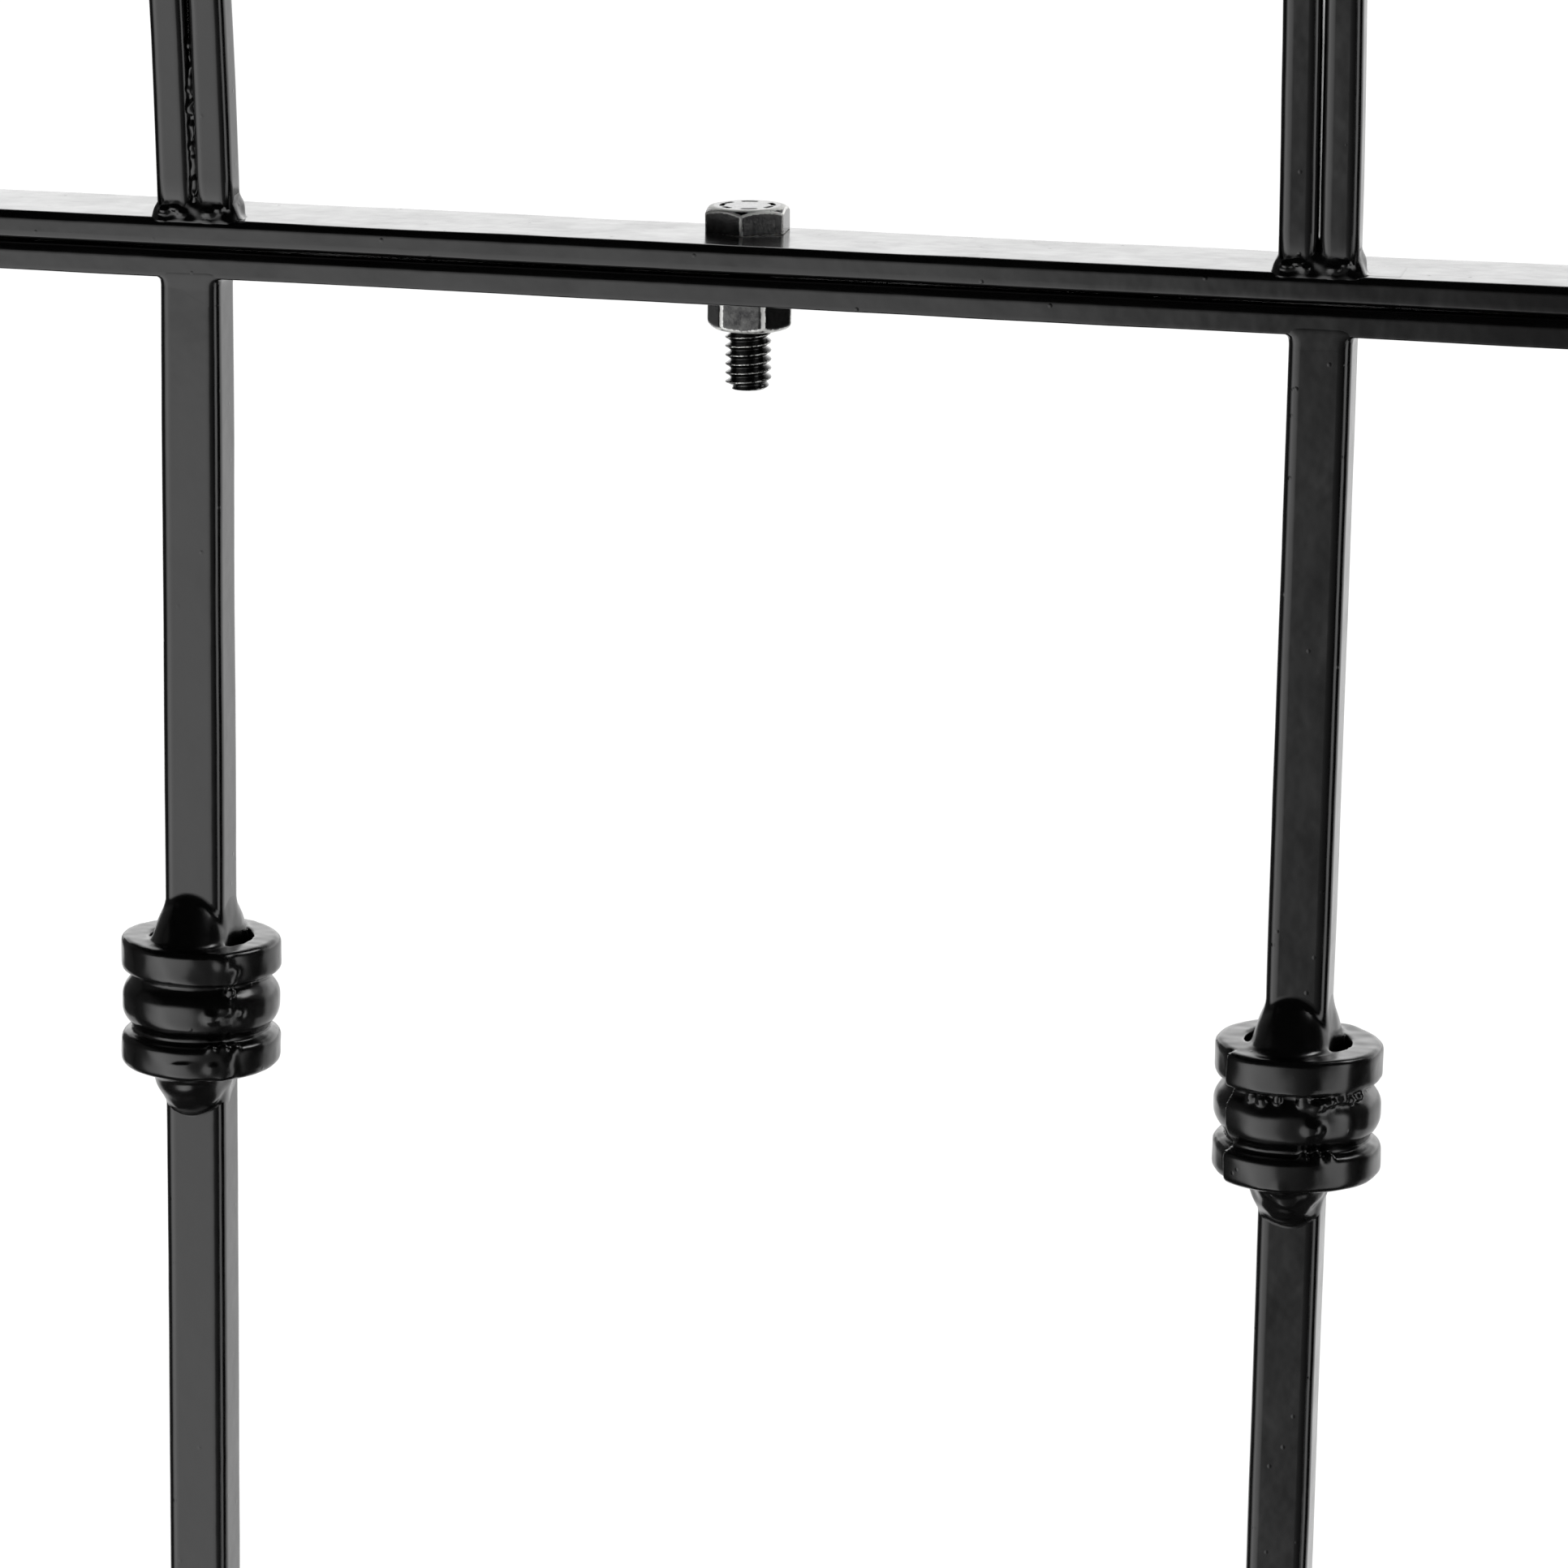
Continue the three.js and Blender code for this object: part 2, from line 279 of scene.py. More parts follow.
def sweep(name, centres, across, along_depth, outline, seed, floor_z=None):
    """Closed bar in metres through the centres (mm), with lightly uneven painted faces.

    across and along_depth are the section's two directions at each centre. A bar with a floor_z is
    cut level there at both ends, and any other bar has rounded ends."""
    uneven, end_round = 0.05, 0.6
    points, normals = outline
    across, along_depth = across[:, None], along_depth[:, None]
    rings = centres[:, None] + across * points[None, :, :1] + along_depth * points[None, :, 1:]
    outward = across * normals[None, :, :1] + along_depth * normals[None, :, 1:]
    lift = uneven * ripple(rings, 45, seed) + 0.25 * uneven * ripple(rings, 11, seed + 1)
    rings = rings + outward * lift[..., None]
    if floor_z is not None:
        rings[..., 2] = np.maximum(rings[..., 2], floor_z)
    first_cap = rings[0] - outward[0] * end_round
    last_cap = rings[-1] - outward[-1] * end_round
    if floor_z is None:
        first_way = centres[1] - centres[0]
        last_way = centres[-1] - centres[-2]
        rings[0] = rings[0] + first_way * end_round / np.linalg.norm(first_way)
        rings[-1] = rings[-1] - last_way * end_round / np.linalg.norm(last_way)
    rings = np.concatenate((first_cap[None], rings, last_cap[None]))
    count, around = rings.shape[:2]
    index = np.arange(count * around).reshape(count, around)
    ahead = np.roll(index, -1, axis=1)
    quads = np.stack((index[:-1], ahead[:-1], ahead[1:], index[1:]), -1).reshape(-1, 4)
    faces = [*quads, index[0][::-1], index[-1]]
    return make_mesh(name, rings.reshape(-1, 3) * MM, faces, (len(faces) - 2, len(faces) - 1))


def straight_bar(node, axis, corners, spacing, seed, raised=0.0):
    """Painted bar in the place of a straight CAD bar that runs along Y (axis 1) or Z (axis 2)."""
    low, high = (np.array(c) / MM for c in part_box(node))
    middle = (low + high) / 2
    along = np.arange(low[axis] + 1, high[axis] - 1, spacing)
    along = np.array([low[axis], *along, high[axis] - 1, high[axis]])
    centres = np.tile(middle, (len(along), 1))
    centres[:, axis] = along
    centres[:, 2] += raised
    side = np.zeros((len(along), 3))
    side[:, (axis + 1) % 3] = 1
    other = np.zeros((len(along), 3))
    other[:, (axis + 2) % 3] = 1
    size = high - low
    outline = bar_outline(size[(axis + 1) % 3], size[(axis + 2) % 3], corners)
    mesh = sweep(node + "_bar", centres, side, other, outline, seed)
    return add_piece(node + "_painted", mesh, node)


def arch_centre():
    """Height of the centre of the curved ribs and height of their feet, in mm."""
    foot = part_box("twin_rib_front_inner")[0].z / MM
    return foot - RIB_RISE, foot


def curved_rib(node, seed):
    """Rib over the path, from foot to foot."""
    centre_z, foot = arch_centre()
    low, high = (np.array(c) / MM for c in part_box(node))
    width = high[1] - low[1]
    radius = RIB_RADIUS + TWIN_DEPTH / 2
    start = SPRING_ANGLE - 0.001    # a little past the foot, then cut level
    angles = np.linspace(start, math.pi - start, 260)
    outward = np.stack((np.cos(angles), np.zeros_like(angles), np.sin(angles)), 1)
    centres = outward * radius + np.array((0, (low[1] + high[1]) / 2, centre_z))
    across = np.tile((0.0, 1.0, 0.0), (len(angles), 1))
    outline = bar_outline(width, TWIN_DEPTH, [RIB_CORNER] * 4)
    mesh = sweep(node + "_bar", centres, across, outward, outline, seed, floor_z=foot)
    return add_piece(node + "_painted", mesh, node)


def cross_rail(node, seed):
    """Straight rail along Y, square to the arch at its place on it."""
    centre_z, _ = arch_centre()
    low, high = (np.array(c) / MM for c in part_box(node))
    middle = (low + high) / 2
    angle = math.atan2(middle[2] - centre_z, middle[0])
    steps = 80
    centres = np.tile(middle, (steps, 1))
    centres[:, 1] = np.linspace(low[1], high[1], steps)
    outward = np.tile((math.cos(angle), 0.0, math.sin(angle)), (steps, 1))
    tangent = np.tile((-math.sin(angle), 0.0, math.cos(angle)), (steps, 1))
    outline = bar_outline(CROSS_SIZE, CROSS_SIZE, [CROSS_CORNER] * 4)
    mesh = sweep(node + "_bar", centres, tangent, outward, outline, seed)
    return add_piece(node + "_painted", mesh, node)


# ---------------------------------------------------------------- sculpted solids
# Shapes below are distance fields in millimetres on a grid: u outwards from the walkway,
# y along the path, z up. The zero surface becomes a mesh.

CELL_CORNERS = np.array([(i, j, k) for i in (0, 1) for j in (0, 1) for k in (0, 1)])
CELL_EDGES = [(a, b) for a in range(8) for b in range(a + 1, 8)
              if np.abs(CELL_CORNERS[a] - CELL_CORNERS[b]).sum() == 1]


def grid(low, high, step):
    axes = [np.arange(a, b + step, step) for a, b in zip(low, high)]
    return np.stack(np.meshgrid(*axes, indexing="ij"), -1)


def skin(field, low, step):
    """Points, quads and normals of the closed surface where the field is zero; the inside is negative."""
    pad = np.pad(field, 1, constant_values=step)
    low = np.array(low) - step
    size = np.array(pad.shape) - 1
    inside = pad < 0
    count = sum(inside[c[0]:c[0] + size[0], c[1]:c[1] + size[1], c[2]:c[2] + size[2]].astype(np.int8)
                for c in CELL_CORNERS)
    cells = np.argwhere((count > 0) & (count < 8))
    number = np.full(size, -1)
    number[tuple(cells.T)] = np.arange(len(cells))
    values = np.stack([pad[tuple((cells + c).T)] for c in CELL_CORNERS], 1)
    total, hits = np.zeros((len(cells), 3)), np.zeros(len(cells))
    for a, b in CELL_EDGES:
        crossed = (values[:, a] < 0) != (values[:, b] < 0)
        part = values[crossed, a] / (values[crossed, a] - values[crossed, b])
        total[crossed] += CELL_CORNERS[a] + part[:, None] * (CELL_CORNERS[b] - CELL_CORNERS[a])
        hits[crossed] += 1
    local = total / hits[:, None]
    quads = []
    for axis in range(3):
        ahead, u, v = np.eye(3, dtype=int)[[axis, (axis + 1) % 3, (axis + 2) % 3]]
        here = inside[:-1, :-1, :-1]
        there = inside[ahead[0]:, ahead[1]:, ahead[2]:][:size[0], :size[1], :size[2]]
        spots = np.argwhere(here != there)
        ring = np.stack([number[tuple((spots - s).T)] for s in (u + v, v, 0 * u, u)], 1)
        leaving = here[tuple(spots.T)]
        quads += [ring[leaving], ring[~leaving][:, ::-1]]
    slope = np.stack(np.gradient(pad), -1)
    normals = np.zeros((len(cells), 3))
    for corner in CELL_CORNERS:
        weight = np.where(corner, local, 1 - local).prod(1)
        normals += weight[:, None] * slope[tuple((cells + corner).T)]
    normals /= np.linalg.norm(normals, axis=1, keepdims=True) + 1e-12
    return low + (cells + local) * step, np.concatenate(quads), normals


def rounded_box(p, centre, size, corner):
    q = np.abs(p - np.array(centre)) - (np.array(size) / 2 - corner)
    return np.linalg.norm(np.maximum(q, 0), axis=-1) + np.minimum(q.max(-1), 0) - corner


def ellipsoid(p, centre, radii):
    q = (p - np.array(centre)) / np.array(radii)
    length = np.linalg.norm(q, axis=-1)
    return length * (length - 1) / (np.linalg.norm(q / np.array(radii), axis=-1) + 1e-9)


def melt(a, b, blend):
    """Union of two shapes with a smooth fillet about as wide as blend."""
    h = np.maximum(blend - np.abs(a - b), 0) / blend
    return np.minimum(a, b) - h * h * blend / 4


def smooth_cut(fields, blend):
    """Intersection of several shapes with edges rounded by blend."""
    result = fields[0]
    for other in fields[1:]:
        result = -melt(-result, -other, blend)
    return result


def fillet(a, b, blend, sink=0.05):
    """The fillet between two shapes, sunk a little so that it rises gently out of their surfaces."""
    return melt(a, b, blend) + sink


def flat_bar(p, low_z, corner=FLAT_CORNER):
    """Length of flat rail from low_z up, much longer than any grid."""
    size = (FLAT_DEPTH, 400, FLAT_THICK)
    return rounded_box(p, (FLAT_DEPTH / 2, 0, low_z + FLAT_THICK / 2), size, corner)


def upright(p, low_z, high_z):
    """Length of inner upright bar."""
    size = (BAR_SIZE, BAR_SIZE, high_z - low_z)
    return rounded_box(p, (BAR_SIZE / 2, 0, (low_z + high_z) / 2), size, BAR_CORNER)


def twin_ribs(p):
    """Two touching ribs that follow the arch, z = 0 at their feet."""
    reach = np.hypot(HALF_SPAN + p[..., 0], p[..., 2] + RIB_RISE) - RIB_RADIUS - TWIN_DEPTH / 2
    q = np.stack((reach, p[..., 1]), -1)
    near, far = (rounded_box(q, (0, y), (TWIN_DEPTH, TWIN_WIDTH), RIB_CORNER)
                 for y in (-TWIN_OFFSET, TWIN_OFFSET))
    return melt(near, far, 0.3)


def twin_foot_weld():
    """Weld round the feet of two touching ribs on a flat bar, z = 0 on top of the bar."""
    low, step = (-2.5, -11, -3.5), 0.3
    p = grid(low, (11, 11, 7.5), step)
    fade = 0.04 * np.maximum(p[..., 2] - 2.5, 0)
    pair = twin_ribs(p) + fade
    around = smooth_cut((fillet(flat_bar(p, JOINT_GAP - FLAT_THICK), pair, 0.9), 1.6 - p[..., 0]), 0.8)
    height = p[..., 2] - JOINT_GAP
    leant = np.stack((p[..., 0] - 0.28 * height, np.abs(p[..., 1]) + 0.32 * height, height), -1)
    mound = rounded_box(leant, (3.4, 0, 0.2), (7.0, 12.8, 7.4), 2.4) + 0.2 * ripple(p, 3.5, 11)
    mound = melt(mound, pair + 0.05, 0.6)
    drops = ((-4.2, 1.3, 0.8), (-2.6, 1.7, 0.7), (-1.6, 1.0, 0.6), (2.4, 1.2, 0.8), (3.8, 1.8, 0.6))
    for y, z, size in drops:
        mound = melt(mound, ellipsoid(p, (0.4, y, z), (size, 1.2 * size, 0.7 * size)), 0.4)
    mound = smooth_cut((mound, -0.45 - p[..., 2]), 0.5)
    return skin(melt(around, mound, 0.5), low, step)


def groove_bead():
    """Rippled weld in the groove between two twin ribs, up from their feet."""
    low, step = (-3.5, -1.6, 2), 0.2
    p = grid(low, (2.5, 1.6, 26), step)
    reach = np.hypot(HALF_SPAN + p[..., 0], p[..., 2] + RIB_RISE) - RIB_RADIUS
    q = np.stack((reach - 0.85, p[..., 1] - 0.25), -1)
    bead = np.hypot(q[..., 0], q[..., 1]) - 0.72 + 0.16 * ripple(p, 1.3, 71) + 0.12 * ripple(p, 3.5, 72)
    taper = (p[..., 2] - 17) * 0.07
    return skin(bead + np.maximum(taper, 0), low, step)


def bar_top_weld():
    """Where an upright meets the underside of a flat bar flush at the front, z = 0 on the underside."""
    low, step = (-1.0, -8, -4), 0.3
    p = grid(low, (12, 8, 3), step)
    flat = flat_bar(p, 0, FLAT_LOWER_CORNER)
    flush = -0.02 - p[..., 0]
    return skin(np.maximum(fillet(flat, upright(p, -30, 0.4), 1.6), flush), low, step)


def bar_foot_weld():
    """Where an upright stands on a flat bar, z = 0 on its top."""
    low, step = (-2, -9, -5), 0.45
    p = grid(low, (14, 9, 6), step)
    weld = fillet(flat_bar(p, -FLAT_THICK), upright(p, -2.2, 30), 3.4)
    return skin(weld + 0.06 * ripple(p, 3, 31), low, step)


def beaded_ring(p, radius, seam, step_size, bead_angle, seed):
    """Collar of three beads, top at z = 0, with a stepped edge at seam and a lumpy bead at bead_angle."""
    reach = np.hypot(p[..., 0] - BAR_SIZE / 2, p[..., 1])
    angle = np.arctan2(p[..., 1], BAR_SIZE / 2 - p[..., 0])
    turn = ((angle - seam) / (2 * math.pi)) % 1.0
    away = np.abs((angle - bead_angle + math.pi) % (2 * math.pi) - math.pi) * radius / 1.7
    lumps = np.clip(0.8 + 0.6 * ripple(p, 4.6, seed + 1) + 0.2 * ripple(p, 2.2, seed + 2), 0.1, 1.8)
    reach = reach - step_size * (0.5 - turn) - 0.4 * np.exp(-away ** 2) * lumps
    reach = reach + 0.08 * ripple(p, 18, seed) + 0.08 * ripple(p, 7, seed + 3)
    z = p[..., 2] + 0.12 * ripple(p, 22, seed + 5)
    q = np.stack((reach, z), -1)
    ring = None
    for swell, bottom, top, corner in COLLAR_BEADS:
        outer = radius + swell
        middle = ((COLLAR_INNER + outer) / 2, (bottom + top) / 2)
        bead = rounded_box(q, middle, (outer - COLLAR_INNER, top - bottom), corner)
        ring = bead if ring is None else melt(ring, bead, 0.8)
    bore = COLLAR_BORE - np.hypot(p[..., 0] - BAR_SIZE / 2, p[..., 1])
    return smooth_cut((ring, bore), 0.5)


def leaning_dome(p, shift, width, up, lean, base):
    """Weld dome on the bar's front face that leans back to the bar as it rises from base.

    It is cut off a little below base, so that it doesn't fill the grooves of the ring."""
    rise = p[..., 2] - base
    leant = np.stack((p[..., 0] - lean * rise, p[..., 1] - shift, rise), -1)
    return np.maximum(ellipsoid(leant, (0.5, 0, 0), (6.9, width, up)) / (1 + 0.5 * lean), -1.5 - rise)


def collar(radius, seam, step_size, bead_angle, seed, spatter, rear_width):
    """Ornamental collar with its weld domes on the bar's two faces. z = 0 on the ring's top.

    spatter lists the angle, height and size of small drops of weld on the ring."""
    low, step = (-10, -14, -27), 0.36
    p = grid(low, (19, 14, 9), step)
    behind = p * np.array((-1, 1, 1)) + np.array((BAR_SIZE, 0, 0))
    ring = beaded_ring(p, radius, seam, step_size, bead_angle, seed)
    body = melt(ring, leaning_dome(p, shift=-0.5, width=5.7, up=10.2, lean=DOME_LEAN, base=-2), 1.0)
    rear_dome = leaning_dome(behind, shift=1.0, width=rear_width, up=10.2, lean=DOME_LEAN, base=-2)
    body = melt(body, rear_dome, 1.0)
    under = p * np.array((1, 1, -1))
    under_behind = behind * np.array((1, 1, -1))
    low_dome = leaning_dome(under, shift=-0.2, width=5.7, up=UNDER_DOME_UP, lean=DOME_LEAN, base=18.2)
    body = melt(body, low_dome + 0.15 * ripple(p, 4, seed + 7), 0.8)
    low_rear_dome = leaning_dome(under_behind, shift=0.3, width=rear_width, up=6.5, lean=0.4, base=18.2)
    body = melt(body, low_rear_dome, 0.8)
    for angle, height, size in spatter:
        spot = (BAR_SIZE / 2 - (radius - 0.5) * math.cos(angle), (radius - 0.5) * math.sin(angle), height)
        body = melt(body, ellipsoid(p, spot, (size, size * 1.2, size * 0.9)), 0.8)
    body = body + 0.015 * ripple(p, 3.0, seed + 9)
    return skin(np.minimum(body, fillet(body, upright(p, -60, 60), 0.8)), low, step)


def sculpted_mesh(name, placements):
    """One mesh from several (shape, mirror, origin) placements, shaded with the shapes' own normals."""
    points, quads, normals, used = [], [], [], 0
    for (shape_points, shape_quads, shape_normals), mirror, origin in placements:
        mirror = np.array(mirror)
        points.append(shape_points * mirror + np.array(origin))
        quads.append((shape_quads if mirror.prod() > 0 else shape_quads[:, ::-1]) + used)
        normals.append(shape_normals * mirror)
        used += len(shape_points)
    mesh = make_mesh(name, np.concatenate(points) * MM, np.concatenate(quads))
    mesh.normals_split_custom_set_from_vertices(np.concatenate(normals).tolist())
    return mesh


# ---------------------------------------------------------------- fasteners

def hex_walls(p, across_flats):
    """The six sides of a hexagon, each as a field of its own."""
    angles = math.radians(60) * (np.arange(6) + 0.5)
    return [np.cos(a) * p[..., 0] + np.sin(a) * p[..., 1] - across_flats / 2 for a in angles]


def chamfer_cone(p, end_z, end_radius, way):
    """Cone that cuts a hex's corners at 30 degrees, way up (1) or down (-1)."""
    radius = np.hypot(p[..., 0], p[..., 1])
    return ((radius - end_radius) * math.sin(math.radians(30))
            + way * (p[..., 2] - end_z) * math.cos(math.radians(30)))


def edge_wear_and_highlight(fields, reach):
    """1 where two bounding surfaces meet, falling to 0 within reach: worn bright edges, which also carry
    painted edge highlights.
    """
    return np.clip(1.15 + np.sort(np.stack(fields, -1), -1)[..., -2] / reach, 0, 1)


# Stores the mask of worn plating and painted highlights as a mesh attribute.
def store_wear_and_highlight(mesh, wear_and_highlight):
    attribute = mesh.attributes.new("wear_and_highlight", "FLOAT", "POINT")
    attribute.data.foreach_set("value", wear_and_highlight.astype(np.float32))


def head_fields(p):
    """Surfaces that bound a bolt head, z = 0 at its bearing face."""
    ends = np.maximum(-p[..., 2], p[..., 2] - HEAD_HEIGHT)
    return [*hex_walls(p, HEAD_AF), ends, chamfer_cone(p, HEAD_HEIGHT, 5.15, 1)]


def nut_fields(p):
    """Surfaces that bound a nut, z = 0 at its upper end."""
    ends = np.maximum(-NUT_HEIGHT - p[..., 2], p[..., 2])
    return [*hex_walls(p, NUT_AF), ends, chamfer_cone(p, 0, 5.3, 1), chamfer_cone(p, -NUT_HEIGHT, 5.1, -1)]


def thread_points(top, bottom):
    """Helical thread as a grid of points and quads with a closed lower end."""
    around, per_turn = 48, 14
    rows = int((top - bottom) / THREAD_PITCH * per_turn)
    z = np.linspace(top, bottom, rows)[:, None] * np.ones(around)
    angle = np.arange(around)[None] * 2 * math.pi / around + 0 * z
    phase = (z / THREAD_PITCH - angle / (2 * math.pi)) % 1.0
    ridge = np.clip(1.25 * (1 - np.abs(2 * phase - 1)) - 0.1, 0, 1)
    radius = THREAD_ROOT_R + (THREAD_R - THREAD_ROOT_R) * ridge
    taper = np.clip((z - bottom) / 0.9, 0, 1)
    radius = radius * (0.8 + 0.2 * taper)
    points = np.stack((radius * np.cos(angle), radius * np.sin(angle), z), -1)
    index = np.arange(rows * around).reshape(rows, around)
    ahead = np.roll(index, -1, axis=1)
    quads = np.stack((index[:-1], index[1:], ahead[1:], ahead[:-1]), -1).reshape(-1, 4)
    caps = [index[0], index[-1][::-1]]
    return points.reshape(-1, 3), quads, caps, ridge.reshape(-1)


def bolt_mesh():
    """Hex bolt with plain dashes on its head, z = 0 under the head."""
    low, step = (-6.8, -6.8, -0.4), 0.14
    p = grid(low, (6.8, 6.8, HEAD_HEIGHT + 0.6), step)
    head = smooth_cut(head_fields(p), 0.22)
    around = np.arctan2(p[..., 1], p[..., 0])
    reach = np.hypot(p[..., 0], p[..., 1])
    dashes = ((0.2, 0.30), (1.1, 0.22), (1.9, 0.34), (3.2, 0.30), (4.1, 0.18), (4.7, 0.32), (5.5, 0.2))
    for turn, length in dashes:
        off = (around - turn + math.pi) % (2 * math.pi) - math.pi
        dash = np.maximum(np.abs(reach - 3.6) - 0.32, (np.abs(off) - length) * 3.6)
        head = np.maximum(head, -np.maximum(dash, HEAD_HEIGHT - 0.42 - p[..., 2]))
    points, quads, _ = skin(head, low, step)
    thread, thread_quads, caps, ridge = thread_points(0.5, -SHANK_LENGTH)
    offset = len(points)
    faces = [*quads, *(thread_quads + offset), *(cap + offset for cap in caps)]
    mesh = make_mesh("hex_bolt", np.concatenate((points, thread)) * MM, faces)
    # The thread's crests are painted pale: painted glints along them, with a little wear.
    crest_wear_and_glint = np.clip(ridge * 6 - 5, 0, 1) * 0.42
    store_wear_and_highlight(mesh, np.concatenate((edge_wear_and_highlight(head_fields(points), 0.3), crest_wear_and_glint)))
    mesh.materials.append(ZINC)
    return mesh


def nut_mesh():
    """Hex nut, z = 0 at its upper end."""
    low, step = (-6.8, -6.8, -NUT_HEIGHT - 0.4), 0.14
    p = grid(low, (6.8, 6.8, 0.4), step)
    bore = NUT_BORE_R - np.hypot(p[..., 0], p[..., 1])
    points, quads, _ = skin(np.maximum(smooth_cut(nut_fields(p), 0.7), bore), low, step)
    mesh = make_mesh("hex_nut", points * MM, quads)
    # Pale nut edges: worn plating and painted edge highlights.
    store_wear_and_highlight(mesh, edge_wear_and_highlight(nut_fields(points), 0.5))
    mesh.materials.append(ZINC)
    return mesh


def place_fastener(node, mesh, turn, drop, slack=0.0, lean=0.0):
    """Puts a fastener drop mm below the top of its node, moved by slack along the path and leant."""
    low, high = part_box(node)
    piece = add_piece(node + "_finished", mesh)
    piece.location = ((low.x + high.x) / 2, (low.y + high.y) / 2 - slack * MM, high.z - drop * MM)
    piece.rotation_euler = (lean, 0, turn)
    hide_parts(node)


def foot_shape():
    """Foot plate with rounded corners and a pin hole, u = 0 at the inner edge."""
    low, step = (-1, -26, -0.6), 0.6
    p = grid(low, (61, 26, 6), step)
    plate = rounded_box(p, (30, 0, 2.5), (60, 50, 5), 1.0)
    corner = rounded_box(p, (30, 0, 2.5), (60, 50, 60), 5)
    hole = 4.5 - np.hypot(p[..., 0] - 45, p[..., 1])
    return skin(np.maximum(np.maximum(plate, corner), hole), low, step)


# ---------------------------------------------------------------- build the arch

SIDES = (("left", -1), ("right", 1))
ENDS = (("front", -1), ("rear", 1))


def middle_of(node):
    """Centre of a node's box in mm."""
    low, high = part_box(node)
    return (low + high) / 2 / MM


def build_bars():
    for number, node in enumerate(sorted(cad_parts)):
        seed = 100 + 2 * number
        if "_post_" in node:
            straight_bar(node, 2, [POST_CORNER] * 4, 8, seed)
        elif "_bar_" in node:
            straight_bar(node, 2, [BAR_CORNER] * 4, 5, seed)
        elif node.startswith("cross_rail"):
            cross_rail(node, seed)
        elif node.endswith("_rail"):
            under = over = FLAT_CORNER
            if node.endswith("panel_top_rail"):
                under, over = FLAT_LOWER_CORNER, FLAT_UPPER_CORNER
            raised = JOINT_GAP if node.endswith("arch_foot_rail") else 0.0
            straight_bar(node, 1, (over, under, under, over), 4, seed, raised)
        elif "_rib_" in node:
            curved_rib(node, seed)


def degrees(*spots):
    """Spots on a collar with their angles turned from degrees to radians."""
    return [(math.radians(angle), height, size) for angle, height, size in spots]


def build_collars():
    seam_spots = degrees(
        (40, -5.9, 0.7), (25, -9.4, 1.0), (35, -8.4, 1.1), (45, -9.0, 0.8), (24, -14.0, 0.5),
        (34, -14.0, 0.6), (43, -14.2, 0.5), (25, -17.0, 0.8), (35, -16.6, 0.8), (33, -1.6, 0.9),
        (41, -2.8, 0.8))
    groove_spots = degrees(
        (-26, -5.9, 0.5), (-17, -6.1, 0.6), (-6, -5.8, 0.5), (13, -5.9, 0.8), (22, -6.4, 1.0),
        (31, -5.9, 0.8), (41, -5.7, 0.8), (48, -6.0, 0.7), (57, -5.8, 0.7), (19, -9.6, 1.4),
        (14, -13.7, 0.5), (24, -13.8, 0.6), (33, -13.7, 0.5), (-2, -18.0, 0.8))
    shapes = {
        "front": collar(radius=11.5, seam=math.radians(150), step_size=0.3, bead_angle=math.radians(37),
                        seed=41, spatter=seam_spots, rear_width=4.4),
        "rear": collar(radius=11.9, seam=math.radians(-46), step_size=1.1, bead_angle=math.radians(150),
                       seed=57, spatter=groove_spots, rear_width=4.8)}
    for side, sign in SIDES:
        for end, _ in ENDS:
            for level in ("upper", "lower"):
                node = f"{side}_collar_{level}_{end}"
                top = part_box(node)[1].z / MM - DOME_ABOVE
                origin = (sign * HALF_SPAN, middle_of(node)[1], top)
                mesh = sculpted_mesh(node + "_mesh", [(shapes[end], (sign, 1, 1), origin)])
                add_piece(node + "_finished", mesh, node, material=SATIN_PAINT)


def build_welds():
    twin, bead, under, over = twin_foot_weld(), groove_bead(), bar_top_weld(), bar_foot_weld()
    for side, sign in SIDES:
        facing = (sign, 1, 1)
        rail_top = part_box(f"{side}_arch_foot_rail")[1].z / MM
        feet, panel = [], []
        for end, way in ENDS:
            place = (sign * HALF_SPAN, middle_of(f"twin_rib_{end}_inner")[1] + way * TWIN_OFFSET, rail_top)
            feet.append((twin, facing, place))
            if end == "front":
                feet.append((bead, facing, place))
            y = middle_of(f"{side}_bar_upper_{end}")[1]
            for rail in ("top", "middle"):
                rail_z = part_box(f"{side}_panel_{rail}_rail")[0].z / MM
                panel.append((under, facing, (sign * HALF_SPAN, y, rail_z)))
            for rail in ("middle", "bottom"):
                rail_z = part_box(f"{side}_panel_{rail}_rail")[1].z / MM
                panel.append((over, facing, (sign * HALF_SPAN, y, rail_z)))
        add_piece(f"{side}_arch_foot_welds", sculpted_mesh(f"{side}_arch_foot_welds", feet))
        add_piece(f"{side}_panel_welds", sculpted_mesh(f"{side}_panel_welds", panel))


def build_fasteners():
    bolt, nut = bolt_mesh(), nut_mesh()
    for side, sign in SIDES:
        for bay in ("front", "middle", "rear"):
            bolt_turn, nut_turn = -sign * HEAD_TURN, -sign * NUT_TURN
            place_fastener(f"{side}_bolt_{bay}", bolt, bolt_turn, HEAD_HEIGHT, BOLT_SLACK, BOLT_LEAN)
            place_fastener(f"{side}_nut_{bay}", nut, nut_turn, 0.0)


def build_feet():
    shape = foot_shape()
    for side, sign in SIDES:
        for end, _ in ENDS:
            node = f"{side}_foot_{end}"
            origin = (sign * HALF_SPAN, middle_of(node)[1], 0)
            mesh = sculpted_mesh(node + "_mesh", [(shape, (sign, 1, 1), origin)])
            add_piece(node + "_finished", mesh, node)


build_bars()
build_collars()
build_welds()
build_fasteners()
build_feet()


# ---------------------------------------------------------------- studio

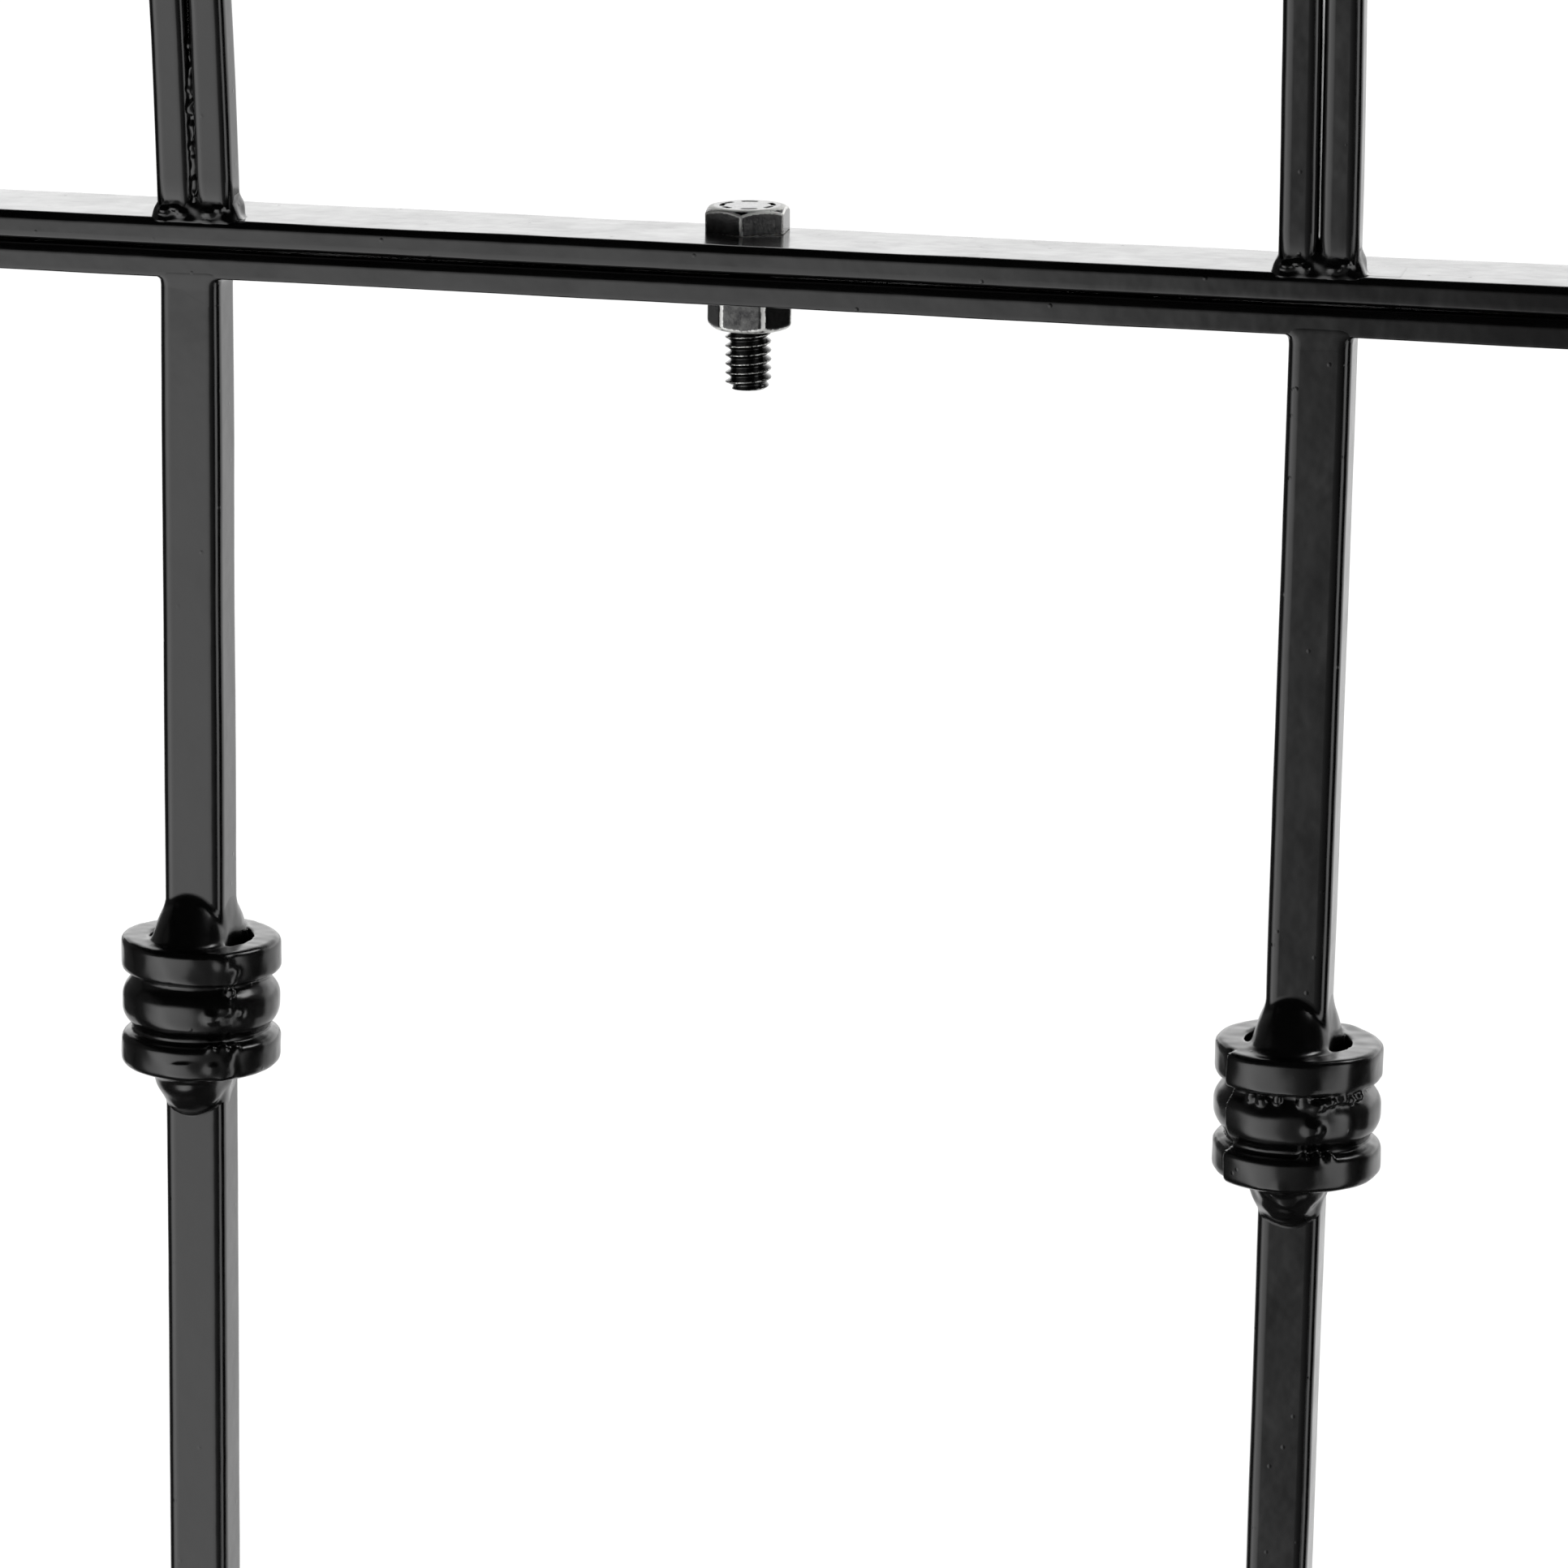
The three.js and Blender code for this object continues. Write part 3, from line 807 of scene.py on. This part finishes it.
def graded(name, level, across, up):
    """Emission of the given level times two graded profiles along the card's width and height."""
    material = bpy.data.materials.new(name)
    material.use_nodes = True
    nodes, links = material.node_tree.nodes, material.node_tree.links
    nodes.clear()
    place = nodes.new("ShaderNodeSeparateXYZ")
    links.new(nodes.new("ShaderNodeTexCoord").outputs["UV"], place.inputs["Vector"])
    product = None
    for output, stops in (("X", across), ("Y", up)):
        profile = nodes.new("ShaderNodeValToRGB")
        elements = profile.color_ramp.elements
        while len(elements) < len(stops):
            elements.new(0.5)
        for element, (position, value) in zip(elements, stops):
            element.position = position
            element.color = (value, value, value, 1)
        links.new(place.outputs[output], profile.inputs["Fac"])
        if product is None:
            product = profile.outputs["Color"]
            continue
        times = nodes.new("ShaderNodeMath")
        times.operation = "MULTIPLY"
        links.new(product, times.inputs[0])
        links.new(profile.outputs["Color"], times.inputs[1])
        product = times.outputs["Value"]
    scale = nodes.new("ShaderNodeMath")
    scale.operation = "MULTIPLY"
    links.new(product, scale.inputs[0])
    scale.inputs[1].default_value = level
    shader = nodes.new("ShaderNodeEmission")
    links.new(scale.outputs["Value"], shader.inputs["Strength"])
    output = nodes.new("ShaderNodeOutputMaterial")
    links.new(shader.outputs["Emission"], output.inputs["Surface"])
    return material


EVEN = ((0.0, 1.0), (1.0, 1.0))
SOFT = ((0.0, 0.0), (0.2, 1.0), (0.8, 1.0), (1.0, 0.0))


def card(name, corners, level, across=EVEN, up=EVEN):
    """Studio card that is seen only in reflections: bright to light the gloss, black to darken it."""
    mesh = bpy.data.meshes.new(name)
    mesh.from_pydata(corners, [], [(0, 1, 2, 3)])
    layer = mesh.uv_layers.new(name="place")
    for loop, uv in zip(layer.data, ((0, 0), (1, 0), (1, 1), (0, 1))):
        loop.uv = uv
    mesh.materials.append(graded(name, level, across, up))
    board = bpy.data.objects.new(name, mesh)
    bpy.context.scene.collection.objects.link(board)
    for ray in ("camera", "diffuse", "shadow", "transmission", "volume_scatter"):
        setattr(board, "visible_" + ray, False)


def upright_card(name, start, end, low, high, level, across=EVEN, up=EVEN):
    """Card that stands on the line from start to end, both (x, y), between two heights."""
    (x0, y0), (x1, y1) = start, end
    card(name, [(x0, y0, low), (x1, y1, low), (x1, y1, high), (x0, y0, high)], level, across, up)


def build_floor():
    """Wide pale floor."""
    size = 40
    corners = [(-size, -size, 0), (size, -size, 0), (size, size, 0), (-size, size, 0)]
    mesh = bpy.data.meshes.new("floor")
    mesh.from_pydata(corners, [], [(0, 1, 2, 3)])
    pale = bpy.data.materials.new("pale_floor")
    pale.use_nodes = True
    shader = pale.node_tree.nodes["Principled BSDF"]
    shader.inputs["Base Color"].default_value = (0.9, 0.9, 0.9, 1)
    shader.inputs["Roughness"].default_value = 0.9
    shader.inputs["Specular IOR Level"].default_value = 0
    mesh.materials.append(pale)
    floor = bpy.data.objects.new("floor", mesh)
    bpy.context.scene.collection.objects.link(floor)


def build_lights():
    """Soft white surroundings, bright cards in front of the panel and dark ones round it."""
    world = bpy.data.worlds.new("studio")
    world.use_nodes = True
    world.node_tree.nodes["Background"].inputs["Color"].default_value = (1, 1, 1, 1)
    world.node_tree.nodes["Background"].inputs["Strength"].default_value = 1.2
    bpy.context.scene.world = world

    near_across = ((0.0, 0.0), (0.15, 0.24), (0.36, 0.63), (0.56, 1.0), (0.66, 0.77), (0.75, 0.62),
                   (0.776, 0.4), (0.788, 0.15), (0.81, 0.1), (0.88, 0.06), (0.96, 0.03), (1.0, 0.0))
    near_up = ((0.0, 1.0), (0.9, 1.0), (0.97, 0.3), (1.0, 0.0))
    upright_card("near_softbox", (0.02, -2.2), (0.02, 0.6), 0, 1.66, 2.7, near_across, near_up)
    upright_card("tall_softbox", (0.02, -2.2), (0.02, -0.8), 1.66, 2.2, 0.12, SOFT, SOFT)
    glint = [(-1.15, 0.45, 2.5), (-0.75, 0.45, 2.5), (-0.75, 0.95, 2.3), (-1.15, 0.95, 2.3)]
    card("glint_light", glint, 7, SOFT, SOFT)
    right_up = ((0.0, 0.6), (0.85, 1.0), (1.0, 0.0))
    upright_card("right_softbox", (0.3, 1.2), (-0.42, 1.5), 0, 2.1, 2.4, SOFT, right_up)
    upright_card("front_flag", (2.4, -3.0), (2.4, 3.0), 0, 3.5, 0.005)
    upright_card("right_flag", (-2.5, 3.0), (2.4, 3.0), 0, 3.5, 0.006)
    upright_card("left_flag", (-2.5, -3.0), (2.4, -3.0), 0, 3.5, 0.1)
    upright_card("left_back_flag", (-6.0, -4.5), (-2.5, -3.0), 0, 3.5, 0.1)
    upright_card("back_light", (-7.0, -7.0), (-7.0, 7.0), 1.9, 4.2, 1.9)
    ceiling = [(-4, -5, 4.2), (5, -5, 4.2), (5, 5, 4.2), (-4, 5, 4.2)]
    card("ceiling_flag", ceiling, 0.008)
    ground = [(-1.6, -3, 0.01), (0.1, -3, 0.01), (0.1, 3, 0.01), (-1.6, 3, 0.01)]
    card("ground_flag", ground, 0.05)


build_floor()
build_lights()
bpy.context.scene.view_settings.view_transform = "Standard"
